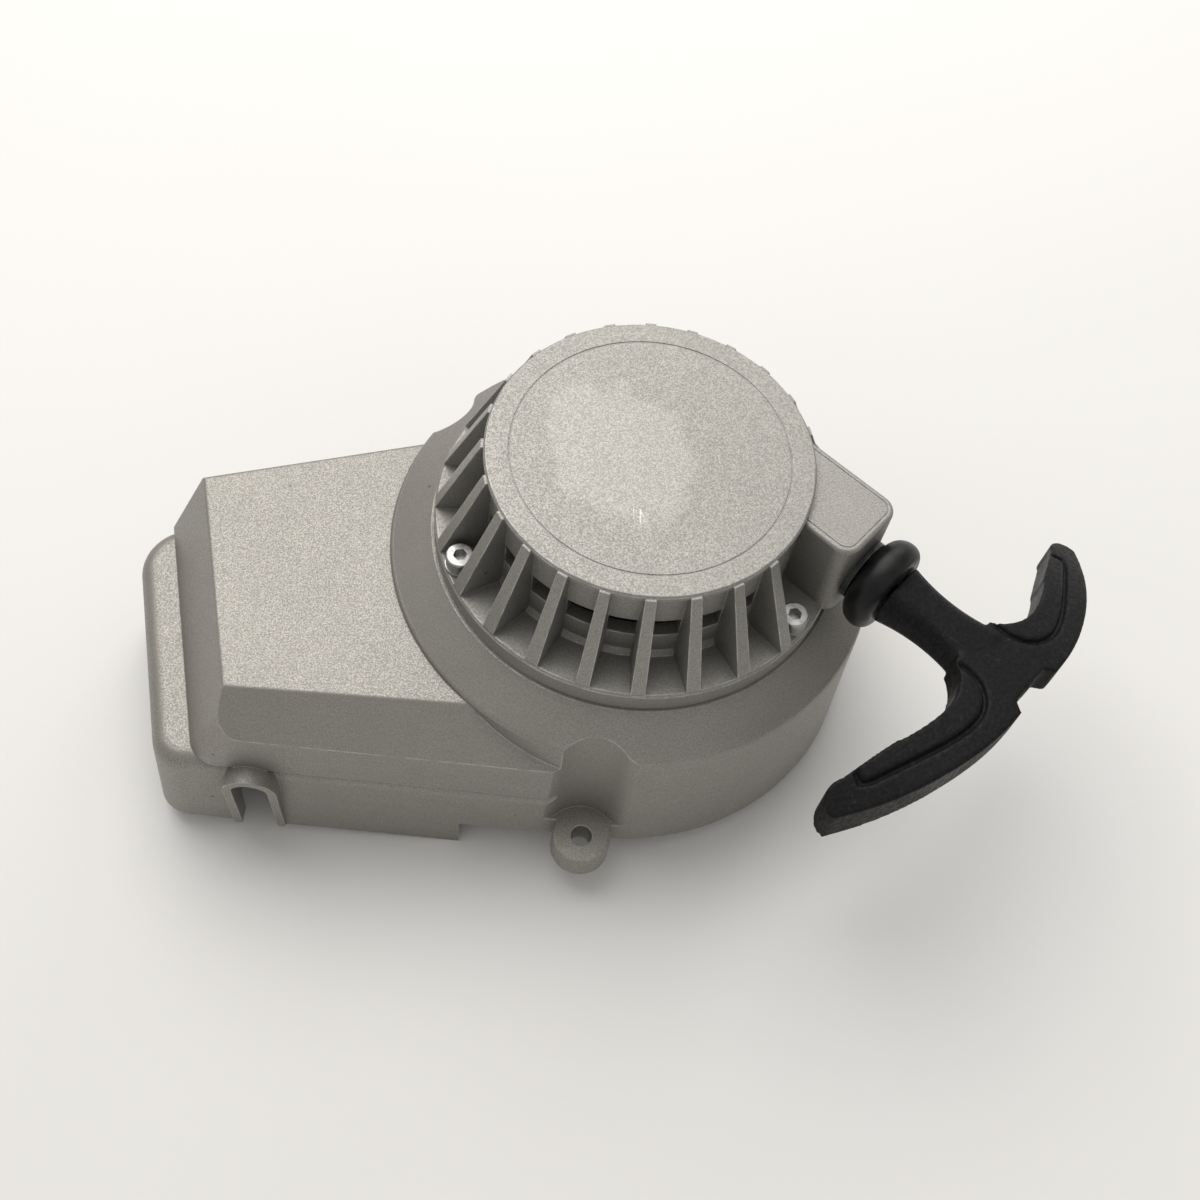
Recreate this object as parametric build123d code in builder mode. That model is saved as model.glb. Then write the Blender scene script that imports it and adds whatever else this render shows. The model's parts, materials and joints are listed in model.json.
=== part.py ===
from build123d import *
import os
from math import cos, hypot, radians, sin, sqrt

# Recoil starter for a small two-stroke engine, in millimetres.
# Origin: crankshaft axis on the mounting face. +Z points outwards along the crankshaft,
# and the air duct runs towards -X.

os.makedirs("parts", exist_ok=True)

# ---------------------------------------------------------------- driving dimensions
# heights above the mounting face
SKIRT_Z = -10.8
SEAT_Z = 51.0
FLANGE_TOP_Z = 57.2
CAP_TOP_Z = 84.0
PLATEAU_Z = 42.6
CHAMFER_Z = 34.0
LEDGE_Z = 19.5
ROPE_Z = 66.0

# round part of the housing
WALL = 3.0
WALL_FOOT_R = 64.6
SHOULDER_R = 62.75
SHOULDER_Z = 42.7
CONE_R = 52.2
OPENING_R = 38.0
CEILING_Z = SEAT_Z - 3.5

# mounting ears
EAR_ANGLES = (-110.0, 10.0, 130.0)
EAR_CIRCLE_R = 68.0
EAR_R = 7.6
EAR_HEIGHT = 8.0
EAR_HOLE_R = 2.75
SCALLOP_R = 9.4
SCALLOP_OFFSET = 1.2
SCALLOP_MOUTH_R = 64.4
SCALLOP_FLARE = 8.0

# cap
CAP_R = 40.0
CAP_WALL_R = 39.0
CAP_INNER_R = 36.0
FLANGE_R = 51.5
SPIGOT_Z = 49.0
ROOF_Z = 80.0
STEP_Z = 72.6
STEP_R = 34.5
FIN_COUNT = 21
FIN_START = 2.5
FIN_PITCH = 15.0
FIN_FOOT = 3.6
WINDOW_WIDTH = 6.8
WINDOW_LOW_Z = 65.6
WINDOW_HIGH_Z = 72.1
SCREW_CIRCLE_R = 47.6
SCREW_ANGLES = (70.0, 190.0, 310.0)
DIE_CIRCLE_R = 34.2
ANCHOR_PIN_R = 31.6
ANCHOR_PIN_ANGLE = 150.0
PIN_HOLE_R = 1.5

# rope line: horizontal, passing the crank axis at the winding radius
PULL_ANGLE = -53.5
WINDING_R = 22.5
ROPE_R = 1.9
BLOCK_END = 51.7
BLOCK_HALF = 10.35
BLOCK_LOW_Z = 55.0
BLOCK_TOP_Z = 81.5
BEAD_INSET = 1.4
BEAD_WIDTH = 0.3
BEAD_DEPTH = 0.15
PASSAGE_R = 3.6
GUIDE_R = 6.0
GUIDE_DEPTH = 12.0

# reel stack on the centre post
POST_R = 5.98
BUSH_R = 7.5
REEL_BORE_R = 7.55
REEL_R = 34.3
REEL_HUB_R = 14.0
POST_END_Z = 59.0
POST_THREAD_R = 2.5
POST_THREAD_DEPTH = 15.0
GROOVE_LOW_Z = ROPE_Z - 6.4
GROOVE_HIGH_Z = ROPE_Z + 2.4
REEL_LOW_Z = 57.4
REEL_HIGH_Z = 70.6

# handle
HANDLE_TWIST = -3.0
HANDLE_START = 62.4
HANDLE_HALF_THICK = 4.7
HANDLE_SAG_R = 104.0
KNOT_SEAT = 91.5

# ---------------------------------------------------------------- the rope line's frame
pull_dir = Vector(cos(radians(PULL_ANGLE)), sin(radians(PULL_ANGLE)), 0)
across_dir = Vector(-sin(radians(PULL_ANGLE)), cos(radians(PULL_ANGLE)), 0)
pull_origin = across_dir * WINDING_R + Vector(0, 0, ROPE_Z)
pull_axis = Axis(pull_origin, pull_dir)
# in this plane x runs along the rope and y across it
rope_plane = Plane(pull_origin, x_dir=pull_dir, z_dir=(0, 0, 1))


def section_plane(distance):
    """Plane square to the rope, at a distance along it; x is across and y is up."""
    return Plane(pull_origin + pull_dir * distance, x_dir=across_dir, z_dir=pull_dir)


def polar(radius, angle):
    """Plan point at a radius and an angle in degrees about the crank axis."""
    return (radius * cos(radians(angle)), radius * sin(radians(angle)))


# ---------------------------------------------------------------- housing: round part
with BuildPart() as round_outer:
    with BuildSketch(Plane.XZ):
        with BuildLine():
            Polyline((0, SEAT_Z), (0, 0), (WALL_FOOT_R, 0), (SHOULDER_R, SHOULDER_Z))
            shoulder_top = (SHOULDER_R - 0.9, SHOULDER_Z + 1.5)
            ThreePointArc((SHOULDER_R, SHOULDER_Z), (SHOULDER_R - 0.2, SHOULDER_Z + 0.95), shoulder_top)
            Polyline(shoulder_top, (CONE_R, SEAT_Z), (0, SEAT_Z))
        make_face()
    revolve(axis=Axis.Z)

with BuildPart() as round_inner:
    with BuildSketch(Plane.XZ):
        with BuildLine():
            Polyline(
                (0, CEILING_Z),
                (0, -1),
                (WALL_FOOT_R - WALL, -1),
                (SHOULDER_R - WALL, SHOULDER_Z - 2),
                (SHOULDER_R - WALL - 0.4, SHOULDER_Z - 0.6),
                (CONE_R - 0.4, CEILING_Z),
                (0, CEILING_Z),
            )
        make_face()
    revolve(axis=Axis.Z)
    with BuildSketch(Plane.XY.offset(SEAT_Z - 5)):
        Circle(OPENING_R)
    extrude(amount=10)

# ---------------------------------------------------------------- housing: duct
# Each level holds: height, end x, front slope and offset, back offset.
# The front wall is the line y = -slope * x - offset, tangent to the round wall.
FRONT_SLOPE = 0.275
TOP_SLOPE = 0.2406
BACK_SLOPE = 0.053
DUCT_RIGHT_X = -17.0
SKIRT_LEVEL = (SKIRT_Z, -129.2, FRONT_SLOPE, 67.62, 45.6)
LEDGE_LOW_LEVEL = (LEDGE_Z, -127.4, FRONT_SLOPE, 65.85, 43.9)
LEDGE_HIGH_LEVEL = (LEDGE_Z, -118.0, FRONT_SLOPE, 65.85, 43.9)
CHAMFER_LEVEL = (CHAMFER_Z, -111.1, FRONT_SLOPE, 65.0, 43.1)
PLATEAU_LEVEL = (PLATEAU_Z, -107.0, TOP_SLOPE, 50.6, 42.6)


def duct_corners(level, inset=0.0):
    """Plan corners of the duct at one level, moved inwards by inset."""
    z, end_x, slope, front, back = level
    end_x = end_x + inset
    front = front - inset * sqrt(1 + slope**2)
    back = back - inset
    return [
        (end_x, -slope * end_x - front),
        (DUCT_RIGHT_X, -slope * DUCT_RIGHT_X - front),
        (DUCT_RIGHT_X, back + BACK_SLOPE * DUCT_RIGHT_X),
        (end_x, back + BACK_SLOPE * end_x),
    ]


with BuildPart() as duct_upper:
    for level in (LEDGE_HIGH_LEVEL, CHAMFER_LEVEL, PLATEAU_LEVEL):
        with BuildSketch(Plane.XY.offset(level[0])):
            Polygon(*duct_corners(level), align=None)
    loft(ruled=True)
    front_corner = duct_upper.edges().filter_by(
        lambda e: e.center().X < -105 and e.center().Y < -20 and LEDGE_Z + 1 < e.center().Z < CHAMFER_Z
    )
    fillet(front_corner, radius=8)
    top_rim = duct_upper.faces().sort_by(Axis.Z)[-1].edges().filter_by(lambda e: e.center().X < -20)
    fillet(top_rim, radius=1.0)

with BuildPart() as duct_lower:
    for level in (SKIRT_LEVEL, LEDGE_LOW_LEVEL):
        with BuildSketch(Plane.XY.offset(level[0])):
            Polygon(*duct_corners(level), align=None)
    loft(ruled=True)
    end_corners = duct_lower.edges().filter_by(lambda e: e.center().X < -120 and 0 < e.center().Z < 10)
    fillet(end_corners.sort_by(Axis.Y)[0], radius=9)
    fillet(end_corners.sort_by(Axis.Y)[-1], radius=13)
    ledge_rim = duct_lower.faces().sort_by(Axis.Z)[-1].edges().filter_by(lambda e: e.center().X < -119)
    fillet(ledge_rim, radius=4.5)

with BuildPart() as duct_inner:
    with BuildSketch(Plane.XY.offset(LEDGE_Z - WALL - 0.5)):
        Polygon(*duct_corners(LEDGE_HIGH_LEVEL, WALL), align=None)
    with BuildSketch(Plane.XY.offset(CHAMFER_Z)):
        Polygon(*duct_corners(CHAMFER_LEVEL, WALL), align=None)
    with BuildSketch(Plane.XY.offset(PLATEAU_Z - WALL)):
        Polygon(*duct_corners(PLATEAU_LEVEL, WALL + 1), align=None)
    loft(ruled=True)

with BuildPart() as skirt_inner:
    with BuildSketch(Plane.XY.offset(SKIRT_Z - 1)):
        Polygon(*duct_corners(SKIRT_LEVEL, WALL), align=None)
    with BuildSketch(Plane.XY.offset(LEDGE_Z - WALL)):
        Polygon(*duct_corners(LEDGE_LOW_LEVEL, WALL), align=None)
    loft(ruled=True)
    inner_corners = skirt_inner.edges().filter_by(lambda e: e.center().X < -115 and 0 < e.center().Z < 10)
    fillet(inner_corners.sort_by(Axis.Y)[0], radius=6)
    fillet(inner_corners.sort_by(Axis.Y)[-1], radius=10)

# lead outlet: a hooded arch on the duct's front wall
ARCH_X = -104.0
ARCH_TOP_Z = 21.0
ARCH_OUTER_R = 6.8
ARCH_INNER_R = 4.6
ARCH_PROUD = 4.6
ARCH_FOOT_PROUD = 2.4
arch_normal = Vector(-FRONT_SLOPE, -1, 0).normalized()
arch_origin = Vector(ARCH_X, -FRONT_SLOPE * ARCH_X - 66.0, 0)
arch_plane = Plane(arch_origin, x_dir=(-arch_normal.Y, arch_normal.X, 0), z_dir=arch_normal)


def arch_outline(plane, radius, foot_z):
    """Upside-down U on a plane, with its round top at the outlet's height."""
    crown = ARCH_TOP_Z - ARCH_OUTER_R
    with BuildSketch(plane) as outline:
        with BuildLine():
            Polyline((-radius, crown), (-radius, foot_z), (radius, foot_z), (radius, crown))
            ThreePointArc((-radius, crown), (0, crown + radius), (radius, crown))
        make_face()
    return outline.sketch


with BuildPart() as arch_hood:
    extrude(arch_outline(arch_plane.offset(-2), ARCH_OUTER_R, SKIRT_Z), amount=2 + ARCH_PROUD)
    # the hood's face leans back towards its feet
    with BuildSketch(Plane(arch_origin, x_dir=arch_normal, z_dir=arch_normal.cross(Vector(0, 0, 1)))):
        Polygon(
            (-3, SKIRT_Z),
            (ARCH_FOOT_PROUD, SKIRT_Z),
            (ARCH_PROUD, ARCH_TOP_Z),
            (-3, ARCH_TOP_Z),
            align=None,
        )
    extrude(amount=2 * ARCH_OUTER_R, both=True, mode=Mode.INTERSECT)

with BuildPart() as arch_opening:
    extrude(arch_outline(arch_plane.offset(-8), ARCH_INNER_R, SKIRT_Z - 1), amount=9 + ARCH_PROUD)

# ---------------------------------------------------------------- housing: whole
NOTCH_X = -53.3
BOSS_R = 5.2
BOSS_LOW_Z = 40.5
THREAD_R = 2.0

with BuildPart() as housing_shell:
    add(round_outer.part)
    add(duct_upper.part)
    add(duct_lower.part)
    # the skirt reaches below the mounting face only beyond the notch
    with BuildSketch(Plane.XY.offset(SKIRT_Z - 1)):
        with Locations((NOTCH_X, 0)):
            Rectangle(80, 160, align=(Align.MIN, Align.CENTER))
    extrude(amount=-SKIRT_Z + 1, mode=Mode.SUBTRACT)
    add(round_inner.part, mode=Mode.SUBTRACT)
    add(duct_inner.part, mode=Mode.SUBTRACT)
    add(skirt_inner.part, mode=Mode.SUBTRACT)
    add(arch_hood.part)
    add(arch_opening.part, mode=Mode.SUBTRACT)

# each ear has a bay above it for the bolt and its driver, backed by a bulge inside
BAY_CENTRE_R = EAR_CIRCLE_R + SCALLOP_OFFSET
BAY_REACH = 44.0
BACK_BAY_X = -45.0
BAY_TOP_Z = 50.0
BAY_GROWTH = 1.8


def level_between(low_level, high_level, height):
    """Duct level at a height between two given ones."""
    share = (height - low_level[0]) / (high_level[0] - low_level[0])
    return tuple(low + share * (high - low) for low, high in zip(low_level, high_level))


def bay_plan(angle, height, growth):
    """Round bay whose mouth flares softly into the walls beside it, grown inwards by the draft."""
    centre = polar(BAY_CENTRE_R, angle)
    bay_r = SCALLOP_R + growth
    duct_level = level_between(SKIRT_LEVEL, LEDGE_LOW_LEVEL, EAR_HEIGHT)
    with BuildSketch(Plane.XY.offset(height)) as plan:
        with Locations(Location((*centre, 0), angle)):
            Rectangle(BAY_REACH, BAY_REACH)
        with Locations(Location((0, 0, 0), angle + 180)):
            Circle(SCALLOP_MOUTH_R - growth, mode=Mode.SUBTRACT)
        Polygon(*duct_corners(duct_level, growth - 0.15), align=None, mode=Mode.SUBTRACT)
        with Locations(Location((*centre, 0), angle)):
            Circle(bay_r)
        rim = plan.vertices().filter_by(
            lambda v: abs(hypot(v.X - centre[0], v.Y - centre[1]) - bay_r) < 0.05
        )
        # the back ear's bay meets the duct without a flare
        mouth = rim.filter_by(lambda v: v.X > BACK_BAY_X or v.Y < 0)
        fillet(mouth, radius=SCALLOP_FLARE - growth)
    return plan.sketch


with BuildPart() as scallop_backs:
    with BuildSketch():
        for angle in EAR_ANGLES:
            with Locations(polar(BAY_CENTRE_R, angle)):
                Circle(SCALLOP_R + WALL + 1)
    extrude(amount=SEAT_Z)
    add(round_outer.part, mode=Mode.INTERSECT)

with BuildPart() as ears:
    with BuildSketch():
        for angle in EAR_ANGLES:
            with Locations(polar(EAR_CIRCLE_R, angle)):
                Circle(EAR_R)
            with Locations(Location((*polar(EAR_CIRCLE_R - 5, angle), 0), angle)):
                Rectangle(10, 2 * EAR_R)
    extrude(amount=EAR_HEIGHT)
    fillet(ears.faces().filter_by(Axis.Z).sort_by(Axis.Z)[-3:].edges(), radius=0.8)

with BuildPart() as scallops:
    for angle in EAR_ANGLES:
        loft([bay_plan(angle, EAR_HEIGHT, 0), bay_plan(angle, BAY_TOP_Z, BAY_GROWTH)], ruled=True)

with BuildPart() as screw_bosses:
    with BuildSketch(Plane.XY.offset(BOSS_LOW_Z)):
        for angle in SCREW_ANGLES:
            with Locations(polar(SCREW_CIRCLE_R, angle)):
                Circle(BOSS_R)
    extrude(amount=SEAT_Z - 1 - BOSS_LOW_Z)

with BuildPart() as fan_housing:
    add(housing_shell.part)
    add(scallop_backs.part)
    add(ears.part)
    add(scallops.part, mode=Mode.SUBTRACT)
    add(screw_bosses.part)
    with BuildSketch(Plane.XY.offset(BOSS_LOW_Z + 1.5)):
        for angle in SCREW_ANGLES:
            with Locations(polar(SCREW_CIRCLE_R, angle)):
                Circle(THREAD_R)
    extrude(amount=SEAT_Z, mode=Mode.SUBTRACT)
    with BuildSketch(Plane.XY.offset(-1)):
        for angle in EAR_ANGLES:
            with Locations(polar(EAR_CIRCLE_R, angle)):
                Circle(EAR_HOLE_R)
    extrude(amount=EAR_HEIGHT + 2, mode=Mode.SUBTRACT)
fan_housing.part.label = "fan_housing"
export_step(fan_housing.part, "parts/fan_housing.step")

# ---------------------------------------------------------------- starter cap
with BuildPart() as fins:
    with BuildSketch(Plane.XY.offset(FLANGE_TOP_Z - 1)):
        with PolarLocations(45, FIN_COUNT, FIN_START, FIN_PITCH * (FIN_COUNT - 1), endpoint=True):
            Rectangle(15, FIN_FOOT)
    extrude(amount=CAP_TOP_Z - FLANGE_TOP_Z + 0.4, taper=1.0)
    with BuildSketch(Plane.XZ):
        Polygon(
            (0, FLANGE_TOP_Z - 1),
            (FLANGE_R - 0.3, FLANGE_TOP_Z - 1),
            (FLANGE_R - 0.3, FLANGE_TOP_Z + 0.6),
            (40.6, CAP_TOP_Z - 0.6),
            (0, CAP_TOP_Z - 0.6),
            align=None,
        )
    revolve(axis=Axis.Z, mode=Mode.INTERSECT)

with BuildPart() as rope_block:
    with BuildSketch(rope_plane.offset(BLOCK_LOW_Z - ROPE_Z)) as block_plan:
        with Locations((BLOCK_END / 2, 0)):
            Rectangle(BLOCK_END, 2 * BLOCK_HALF)
        fillet(block_plan.vertices().group_by(Axis.X)[-1], radius=4.5)
    extrude(amount=BLOCK_TOP_Z - BLOCK_LOW_Z)
    fillet(rope_block.faces().sort_by(Axis.Z)[-1].edges(), radius=1.0)
    # fine line just inside the top's edge
    with BuildSketch(rope_plane.offset(BLOCK_TOP_Z - ROPE_Z)) as bead:
        with Locations((BLOCK_END / 2, 0)):
            Rectangle(BLOCK_END - 2 * BEAD_INSET, 2 * (BLOCK_HALF - BEAD_INSET))
        fillet(bead.vertices().group_by(Axis.X)[-1], radius=4.5 - BEAD_INSET)
        offset(amount=-BEAD_WIDTH, mode=Mode.SUBTRACT)
    extrude(amount=-BEAD_DEPTH, mode=Mode.SUBTRACT)

with BuildPart() as starter_cap:
    with BuildSketch(Plane.XZ):
        with BuildLine():
            Polyline(
                (0, SPIGOT_Z),
                (OPENING_R - 0.05, SPIGOT_Z),
                (OPENING_R - 0.05, SEAT_Z),
                (FLANGE_R, SEAT_Z),
                (FLANGE_R, FLANGE_TOP_Z - 0.6),
                (FLANGE_R - 0.6, FLANGE_TOP_Z),
                (CAP_WALL_R + 1.6, FLANGE_TOP_Z),
                (CAP_WALL_R + 0.5, FLANGE_TOP_Z + 1.6),
                (CAP_WALL_R, CAP_TOP_Z - 2.6),
                (CAP_R, CAP_TOP_Z - 1.6),
                (CAP_R, CAP_TOP_Z - 0.5),
                (CAP_R - 0.5, CAP_TOP_Z),
                (0, CAP_TOP_Z),
                (0, SPIGOT_Z),
            )
        make_face()
    revolve(axis=Axis.Z)
    add(fins.part)
    add(rope_block.part)
    # reel chamber below a narrower spring chamber
    with BuildSketch(Plane.XY.offset(SPIGOT_Z - 1)):
        Circle(CAP_INNER_R)
    extrude(amount=STEP_Z - SPIGOT_Z + 1, mode=Mode.SUBTRACT)
    with BuildSketch(Plane.XY.offset(STEP_Z - 1)):
        Circle(STEP_R)
    extrude(amount=ROOF_Z - STEP_Z + 1, mode=Mode.SUBTRACT)
    # centre post
    with BuildSketch(Plane.XY.offset(POST_END_Z)):
        Circle(POST_R)
    extrude(amount=ROOF_Z - POST_END_Z + 1)
    with BuildSketch(Plane.XY.offset(POST_END_Z - 1)):
        Circle(POST_THREAD_R)
    extrude(amount=POST_THREAD_DEPTH + 1, mode=Mode.SUBTRACT)
    # cooling windows, one between each two fins
    with BuildSketch(Plane.XY.offset(WINDOW_LOW_Z)):
        for number in range(FIN_COUNT - 1):
            angle = FIN_START + FIN_PITCH * (number + 0.5)
            with Locations(Location((*polar(CAP_WALL_R - 1, angle), 0), angle)):
                Rectangle(8, WINDOW_WIDTH)
    extrude(amount=WINDOW_HIGH_Z - WINDOW_LOW_Z, mode=Mode.SUBTRACT)
    # rope passage and guide seat
    with BuildSketch(section_plane(20)):
        Circle(PASSAGE_R)
    extrude(amount=BLOCK_END, mode=Mode.SUBTRACT)
    with BuildSketch(section_plane(BLOCK_END - GUIDE_DEPTH)):
        Circle(GUIDE_R)
    extrude(amount=GUIDE_DEPTH + 2, mode=Mode.SUBTRACT)
    # flange screw holes
    with BuildSketch(Plane.XY.offset(SEAT_Z - 3)):
        for angle in SCREW_ANGLES:
            with Locations(polar(SCREW_CIRCLE_R, angle)):
                Circle(2.2)
    extrude(amount=FLANGE_TOP_Z - SEAT_Z + 4, mode=Mode.SUBTRACT)
    # hole for the spring's anchor pin
    with BuildSketch(Plane.XY.offset(ROOF_Z - 1)):
        with Locations(polar(ANCHOR_PIN_R, ANCHOR_PIN_ANGLE)):
            Circle(PIN_HOLE_R)
    extrude(amount=3, mode=Mode.SUBTRACT)
    # fine circle on the crown left by the die
    with BuildSketch(Plane.XY.offset(CAP_TOP_Z - 0.15)):
        Circle(DIE_CIRCLE_R)
        Circle(DIE_CIRCLE_R - 0.4, mode=Mode.SUBTRACT)
    extrude(amount=1, mode=Mode.SUBTRACT)
starter_cap.part.label = "starter_cap"
export_step(starter_cap.part, "parts/starter_cap.step")

# ---------------------------------------------------------------- cap screws and washers
WASHER_THICK = 1.0
HEAD_R = 3.5
HEAD_HEIGHT = 4.0
head_z = FLANGE_TOP_Z + WASHER_THICK
for number, angle in enumerate(SCREW_ANGLES, start=1):
    seat = Plane(Vector(*polar(SCREW_CIRCLE_R, angle), FLANGE_TOP_Z), z_dir=(0, 0, 1))
    with BuildPart() as spring_washer:
        with BuildSketch(seat):
            Circle(3.7)
            Circle(2.1, mode=Mode.SUBTRACT)
            with Locations((3, 0)):
                Rectangle(3, 0.6, rotation=35, mode=Mode.SUBTRACT)
        extrude(amount=WASHER_THICK)
    spring_washer.part.label = f"spring_washer_{number}"
    export_step(spring_washer.part, f"parts/spring_washer_{number}.step")
    with BuildPart() as cap_screw:
        with BuildSketch(seat.offset(WASHER_THICK)):
            Circle(HEAD_R)
        extrude(amount=HEAD_HEIGHT)
        fillet(cap_screw.faces().sort_by(Axis.Z)[-1].edges(), radius=0.5)
        with BuildSketch(seat.offset(WASHER_THICK)):
            Circle(THREAD_R - 0.05)
        extrude(amount=-(head_z - BOSS_LOW_Z - 3))
        with BuildSketch(seat.offset(WASHER_THICK + HEAD_HEIGHT)):
            RegularPolygon(1.75, 6)
        extrude(amount=-2.4, mode=Mode.SUBTRACT)
    cap_screw.part.label = f"cap_screw_{number}"
    export_step(cap_screw.part, f"parts/cap_screw_{number}.step")

# ---------------------------------------------------------------- rope guide and collar
ROPE_HOLE_R = 2.4
GUIDE_LIP = 1.4
with BuildPart() as rope_guide:
    with BuildSketch(rope_plane):
        with BuildLine():
            start = BLOCK_END - GUIDE_DEPTH
            lip = BLOCK_END + GUIDE_LIP
            Polyline(
                (start + 1.4, ROPE_HOLE_R),
                (start, ROPE_HOLE_R + 1.4),
                (start, GUIDE_R - 0.02),
                (BLOCK_END, GUIDE_R - 0.02),
                (BLOCK_END, GUIDE_R + 2),
                (lip, GUIDE_R + 2),
                (lip, ROPE_HOLE_R + 1.2),
            )
            ThreePointArc(
                (lip, ROPE_HOLE_R + 1.2),
                (lip - 0.35, ROPE_HOLE_R + 0.35),
                (lip - 1.2, ROPE_HOLE_R),
            )
            Line((lip - 1.2, ROPE_HOLE_R), (start + 1.4, ROPE_HOLE_R))
        make_face()
    revolve(axis=pull_axis)
rope_guide.part.label = "rope_guide"
export_step(rope_guide.part, "parts/rope_guide.step")

COLLAR_START = BLOCK_END + GUIDE_LIP + 0.4
COLLAR_END = HANDLE_START - 0.3
COLLAR_R = 12.2
with BuildPart() as handle_collar:
    with BuildSketch(rope_plane):
        with BuildLine():
            Polyline(
                (COLLAR_START, 7.5),
                (COLLAR_START, ROPE_R + 0.3),
                (COLLAR_END, ROPE_R + 0.3),
                (COLLAR_END, 9.0),
            )
            collar_top = (COLLAR_END - 3.4, COLLAR_R)
            ThreePointArc((COLLAR_END, 9.0), (COLLAR_END - 1.0, COLLAR_R - 1.0), collar_top)
            ThreePointArc(collar_top, (COLLAR_START + 1.4, COLLAR_R - 1.4), (COLLAR_START, 7.5))
        make_face()
    revolve(axis=pull_axis)
handle_collar.part.label = "handle_collar"
export_step(handle_collar.part, "parts/handle_collar.step")

# ---------------------------------------------------------------- handle
twist = radians(HANDLE_TWIST)
handle_across = across_dir * cos(twist) + Vector(0, 0, 1) * sin(twist)
handle_up = across_dir * -sin(twist) + Vector(0, 0, 1) * cos(twist)
# x along the stem, y across it, z out of the grip's upper face
handle_plane = Plane(pull_origin, x_dir=pull_dir, z_dir=handle_up)
arm_plane = Plane(pull_origin + pull_dir * HANDLE_START, x_dir=handle_across, z_dir=pull_dir)
ARM_REACH = 60.0
GROOVE_DEPTH = 0.7
GROOVE_WIDTH = 1.3


def arm_band(half_thickness):
    """Profile of the arms seen along the stem: a band that bows down towards both tips."""
    low = HANDLE_SAG_R - half_thickness
    high = HANDLE_SAG_R + half_thickness
    drop_low = low - sqrt(low**2 - ARM_REACH**2)
    drop_high = high - sqrt(high**2 - ARM_REACH**2)
    top_right = (ARM_REACH, half_thickness - drop_high)
    top_left = (-ARM_REACH, half_thickness - drop_high)
    low_right = (ARM_REACH, -half_thickness - drop_low)
    low_left = (-ARM_REACH, -half_thickness - drop_low)
    with BuildSketch(arm_plane) as band:
        with BuildLine():
            ThreePointArc(top_left, (0, half_thickness), top_right)
            Line(top_right, low_right)
            ThreePointArc(low_right, (0, -half_thickness), low_left)
            Line(low_left, top_left)
        make_face()
    return band.sketch


with BuildPart() as grip:
    with BuildSketch(handle_plane.offset(-30)):
        with BuildLine():
            Line((84, 0), (84, 7.6))
            Spline(
                (84, 7.6), (88.6, 12.5), (89.9, 18.5), (86.9, 31), (82.2, 46),
                tangents=((1, 0.55), (-0.28, 1)),
            )
            ThreePointArc((82.2, 46), (82.6, 52.2), (86.6, 53.4))
            Spline(
                (86.6, 53.4), (95.9, 39.5), (101.4, 24.5), (103.3, 10),
                tangents=((0.85, -1), (0, -1)),
            )
            Polyline((103.3, 10), (103.3, 7.8), (100.7, 6), (100.7, 0))
            mirror(about=Plane.XZ)
        make_face()
    extrude(amount=40)
    extrude(arm_band(HANDLE_HALF_THICK), amount=50, mode=Mode.INTERSECT)

with BuildPart() as stem:
    with BuildSketch(section_plane(HANDLE_START)):
        RectangleRounded(16.4, 12.4, 5.6)
    with BuildSketch(section_plane(78)):
        RectangleRounded(13.2, 10.6, 4.6)
    with BuildSketch(section_plane(88)):
        RectangleRounded(17.6, 9.4, 4.2)
    loft()

with BuildPart() as groove_bands:
    with BuildSketch(handle_plane.offset(-30)):
        with BuildLine():
            Spline(
                (85.5, 7.9), (91.5, 8.4), (95.6, 11.8), (97.0, 17),
                (95.0, 26), (90.6, 36.5), (88.0, 42.4),
            )
            Polyline((88.0, 42.4), (86.2, 44.6), (83.5, 43.2))
        trace(line_width=GROOVE_WIDTH)
        mirror(about=Plane.XZ)
    extrude(amount=40)
    extrude(arm_band(HANDLE_HALF_THICK + 1), amount=50, mode=Mode.INTERSECT)
    extrude(arm_band(HANDLE_HALF_THICK - GROOVE_DEPTH), amount=50, mode=Mode.SUBTRACT)

with BuildPart() as handle:
    add(grip.part)
    add(stem.part)
    add(groove_bands.part, mode=Mode.SUBTRACT)
    # rope bore and the pocket for its knot
    with BuildSketch(section_plane(HANDLE_START - 1)):
        Circle(ROPE_HOLE_R)
    extrude(amount=45, mode=Mode.SUBTRACT)
    with BuildSketch(section_plane(KNOT_SEAT)):
        Circle(3.8)
    extrude(amount=20, mode=Mode.SUBTRACT)
handle.part.label = "handle"
export_step(handle.part, "parts/handle.step")

# ---------------------------------------------------------------- rope
with BuildPart() as rope_lead:
    with BuildSketch(section_plane(15)):
        Circle(ROPE_R)
    extrude(amount=KNOT_SEAT + 1.0 - 15)
rope_lead.part.label = "rope_lead"
export_step(rope_lead.part, "parts/rope_lead.step")

with BuildPart() as handle_washer:
    with BuildSketch(section_plane(KNOT_SEAT)):
        Circle(3.7)
        Circle(ROPE_R + 0.1, mode=Mode.SUBTRACT)
    extrude(amount=0.8)
handle_washer.part.label = "handle_washer"
export_step(handle_washer.part, "parts/handle_washer.step")

with BuildPart() as handle_knot:
    with BuildSketch(section_plane(KNOT_SEAT + 1.0)):
        Circle(3.4)
    extrude(amount=6.0)
    fillet(handle_knot.edges().filter_by(GeomType.CIRCLE), radius=2.2)
handle_knot.part.label = "handle_knot"
export_step(handle_knot.part, "parts/handle_knot.step")

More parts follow.
